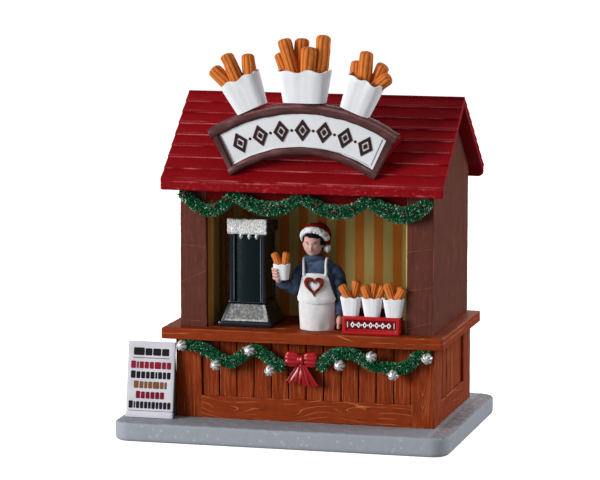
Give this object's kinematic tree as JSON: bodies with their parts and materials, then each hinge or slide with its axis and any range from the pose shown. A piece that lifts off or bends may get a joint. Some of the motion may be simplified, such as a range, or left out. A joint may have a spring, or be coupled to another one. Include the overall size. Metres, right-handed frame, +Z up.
{
  "type": "miniature churro stall",
  "caption": "Painted resin miniature of a market stall: board roof, arched sign topped by cups of churros, vendor behind a panelled counter, garlands and a menu board, on a flat base plate.",
  "frame": {"origin": "middle of the underside of the base plate", "axes": "+Z up, -Y towards the open serving side of the stall, +X to the right as seen from the front"},
  "size_m": [0.12, 0.088, 0.1429],
  "materials": {
    "stone_grey": "matte grey paint with a fine sparkle",
    "counter_wood": "satin orange-brown paint, dry-brushed over carved grain",
    "wall_brown": "matte red-brown paint over a scored surface",
    "hatch_stripes": "matte ochre and orange stripes",
    "roof_red": "satin deep red paint",
    "sign_brown": "satin dark brown paint",
    "paper_white": "matte cool white paint",
    "churro_brown": "matte golden brown paint, darker in the grooves",
    "tray_red": "glossy red paint",
    "label_red": "satin dark red paint",
    "garland_green": "deep green paint with pale glitter",
    "silver": "silver paint",
    "bow_red": "glossy red paint",
    "dispenser_black": "glossy blue-black paint",
    "skin": "matte skin-tone paint",
    "sweater_blue": "matte grey-blue paint",
    "hat_red": "matte dark red paint",
    "heart_brown": "satin brown paint"
  },
  "bodies": {
    "root": {"base": "stone_grey", "menu_board": "paper_white", "counter": "counter_wood", "counter_top": "counter_wood", "wall_left": "wall_brown", "wall_right": "wall_brown", "wall_rear": "wall_brown", "attic": "wall_brown", "lining_rear": "hatch_stripes", "lining_left": "hatch_stripes", "lining_right": "hatch_stripes", "roof_front": "roof_red", "roof_back": "roof_red", "sign_board": "sign_brown", "sign_panel": "paper_white", "sign_gusset_left": "roof_red", "sign_gusset_right": "roof_red", "cup_left": "paper_white", "cup_middle": "paper_white", "cup_right": "paper_white", "churros_left": "churro_brown", "churros_middle": "churro_brown", "churros_right": "churro_brown", "tray": "tray_red", "tray_label": "label_red", "tray_cup_1": "paper_white", "tray_cup_2": "paper_white", "tray_cup_3": "paper_white", "tray_churros_1": "churro_brown", "tray_churros_2": "churro_brown", "tray_churros_3": "churro_brown", "garland_top": "garland_green", "garland_left": "garland_green", "garland_right": "garland_green", "ball_1": "silver", "ball_2": "silver", "ball_3": "silver", "ball_4": "silver", "ball_5": "silver", "ball_6": "silver", "ball_7": "silver", "ball_8": "silver", "bow": "bow_red", "dispenser_foot": "dispenser_black", "dispenser_plate": "silver", "dispenser_column": "dispenser_black", "dispenser_cap": "silver", "vendor_body": "sweater_blue", "vendor_head": "skin", "vendor_hat": "hat_red", "vendor_heart": "heart_brown", "vendor_cup": "paper_white", "vendor_churros": "churro_brown", "vendor_hand_raised": "skin", "vendor_hand_hanging": "skin"}
  },
  "joints": []
}
